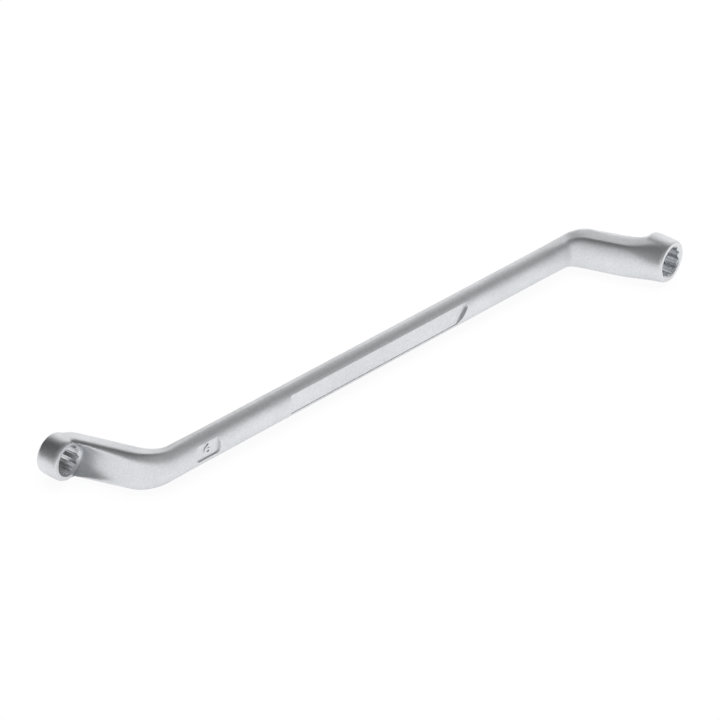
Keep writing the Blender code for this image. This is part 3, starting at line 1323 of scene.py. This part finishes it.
@dataclass(frozen=True)
class Screen:
    """A lit white screen that stands round part of the table and fades out at its top and sides."""

    name: str
    heading: float
    half_angle: float
    fade: float
    top: float
    top_fade: float
    light: float
    distance: float
    rows: int = 24
    columns: int = 48

    def build(self) -> bpy.types.Object:
        """Stand the screen up.

        Returns:
            The screen.
        """
        builder = bmesh.new()
        half, top = self.half_angle + self.fade, self.top + self.top_fade
        start = self.heading - pi / 2 - half
        around = Vector((cos(start), sin(start))) * self.distance
        lifts = [top * row / self.rows for row in range(self.rows + 1)]
        column = [builder.verts.new((*(around * cos(lift)), sin(lift) * self.distance)) for lift in lifts]
        edges = [builder.edges.new(pair) for pair in zip(column, column[1:])]
        bmesh.ops.spin(
            builder, geom=column + edges, cent=(0, 0, 0), axis=(0, 0, 1), dvec=(0, 0, 0), angle=2 * half,
            steps=self.columns)
        light = builder.verts.layers.float.new("light")
        ahead = Vector((sin(self.heading), -cos(self.heading)))
        for vertex in builder.verts:
            lift = atan2(vertex.co.z, vertex.co.xy.length)
            side = smooth_step((half - vertex.co.xy.angle(ahead)) / (2 * self.fade))
            vertex[light] = side * smooth_step((top - lift) / (2 * self.top_fade))
        screen = closed(builder, self.name)
        screen.data.materials.append(self.finish())
        return screen

    def finish(self) -> bpy.types.Material:
        """Light the screen, so that it fades into the room where its light attribute falls.

        Returns:
            The material.
        """
        material, board = plain_material(self.name)
        share = board.add("ShaderNodeAttribute", attribute_name="light").outputs["Fac"]
        clear = board.add("ShaderNodeBsdfTransparent")
        glow = board.add("ShaderNodeEmission", {"Color": (1, 1, 1, 1), "Strength": self.light})
        board.show(board.add("ShaderNodeMixShader", {0: share, 1: clear.outputs[0], 2: glow.outputs[0]}))
        return material


BACK_SCREEN = Screen(
    name="back_screen", heading=radians(107), half_angle=radians(47), fade=radians(26), top=radians(54),
    top_fade=radians(8), light=1.14, distance=1.6)


@dataclass(frozen=True)
class Studio:
    """White table, white screen beyond it, dim room and a soft lamp above."""

    floor_radius: float = 4.0
    floor_sides: int = 96
    floor_tone: float = 0.9
    floor_glow: float = 0.93
    floor_mirror_glow: float = 0.7
    screen: Screen = BACK_SCREEN
    room_light: float = 0.17
    room_slope: tuple[float, float, float] = (-0.14, -0.2, 0.0)
    room_tint: Tone = (0.985, 0.992, 1.0)
    lamp_height: float = 1.5
    lamp_size: float = 1.6
    lamp_power: float = 26.0

    def floor(self) -> bpy.types.Object:
        """Lay the table.

        Returns:
            The table top.
        """
        builder = bmesh.new()
        bmesh.ops.create_circle(builder, cap_ends=True, segments=self.floor_sides, radius=self.floor_radius)
        floor = closed(builder, "table_top")
        floor.data.materials.append(self.floor_finish())
        return floor

    def floor_finish(self) -> bpy.types.Material:
        """Paint the table white, lit mostly by itself where it is seen or mirrored.

        Returns:
            The material.
        """
        material, board = plain_material("white_table")
        white = (self.floor_tone, self.floor_tone, self.floor_tone, 1)
        paint = board.add("ShaderNodeBsdfDiffuse", {"Color": white})
        glow = board.add("ShaderNodeEmission", {"Color": (1, 1, 1, 1), "Strength": 1.0})
        path = board.add("ShaderNodeLightPath")
        seen = board.add("ShaderNodeMath", {
            0: path.outputs["Is Camera Ray"], 1: path.outputs["Is Transmission Ray"]},
            operation="ADD", use_clamp=True)
        share = board.blend(
            (seen.outputs[0], path.outputs["Is Glossy Ray"]), (self.floor_glow, self.floor_mirror_glow))
        board.show(board.add("ShaderNodeMixShader", {0: share, 1: paint.outputs[0], 2: glow.outputs[0]}))
        return material

    def room(self) -> None:
        """Set the dim room round the table, lightest on the camera's side."""
        world = bpy.data.worlds.new("dim_room")
        world.use_nodes = True
        board = NodeBoard(world.node_tree)
        way = board.add("ShaderNodeTexCoord").outputs["Generated"]
        slope = board.add("ShaderNodeVectorMath", {0: way, 1: self.room_slope}, operation="DOT_PRODUCT")
        sums = {0: slope.outputs["Value"], 1: self.room_light}
        level = board.add("ShaderNodeMath", sums, operation="ADD", use_clamp=True)
        world.node_tree.links.new(level.outputs[0], world.node_tree.nodes["Background"].inputs["Strength"])
        world.node_tree.nodes["Background"].inputs["Color"].default_value = (*self.room_tint, 1)
        bpy.context.scene.world = world

    def lamp(self) -> None:
        """Hang the soft lamp that lights the table; the metal doesn't mirror it."""
        light = bpy.data.lights.new("table_lamp", "AREA")
        light.shape = "DISK"
        light.size = self.lamp_size
        light.energy = self.lamp_power
        lamp = linked(light, "table_lamp")
        lamp.location = (0, 0, self.lamp_height)
        lamp.visible_glossy = False

    def set_up(self) -> None:
        """Build the studio."""
        self.room()
        self.lamp()
        self.floor()
        self.screen.build()


@dataclass(frozen=True)
class Viewpoint:
    """Where the camera stands: its angles, distance in millimetres and image plane in pixels."""

    azimuth: float = radians(-53.256)
    elevation: float = radians(32.777)
    roll: float = radians(0.922)
    distance: float = 725.84
    focal_length: float = 2987.6
    centre: tuple[float, float] = (378.0, 351.42)
    frame_size: float = 720.0
    sensor: float = 36.0
    clip_start: float = 0.01

    def place(self) -> bpy.types.Object:
        """Set up the camera.

        Returns:
            The camera.
        """
        level = cos(self.elevation)
        back = Vector((sin(self.azimuth) * level, -cos(self.azimuth) * level, sin(self.elevation)))
        flat_right = Vector((cos(self.azimuth), sin(self.azimuth), 0))
        flat_up = back.cross(flat_right)
        right = cos(self.roll) * flat_right + sin(self.roll) * flat_up
        up = cos(self.roll) * flat_up - sin(self.roll) * flat_right
        half = self.frame_size / 2
        scale = self.distance / self.focal_length
        aside = right * ((half - self.centre[0]) * scale) + up * ((self.centre[1] - half) * scale)
        spot = (back * self.distance + aside + Vector((0, 0, MIDDLE))) * MILLIMETRE
        lens = bpy.data.cameras.new("photo_camera")
        lens.sensor_width = self.sensor
        lens.lens = self.sensor * self.focal_length / self.frame_size
        lens.clip_start = self.clip_start
        camera = linked(lens, "photo_camera")
        camera.matrix_world = Matrix.Translation(spot) @ Matrix((right, up, back)).transposed().to_4x4()
        bpy.context.scene.camera = camera
        return camera


def main() -> None:
    """Build the tool, the studio and the camera."""
    logging.basicConfig(level=logging.INFO, format="%(name)s: %(message)s")
    piece = Spanner().build()
    LOG.info("%s has %d faces", piece.name, len(piece.data.polygons))
    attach(piece, "root")
    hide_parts(FORGING_NODE)
    Studio().set_up()
    Viewpoint().place()
    bpy.context.scene.view_settings.view_transform = "Standard"
    LOG.info("studio and camera are set")


if __name__ == "__main__":
    main()
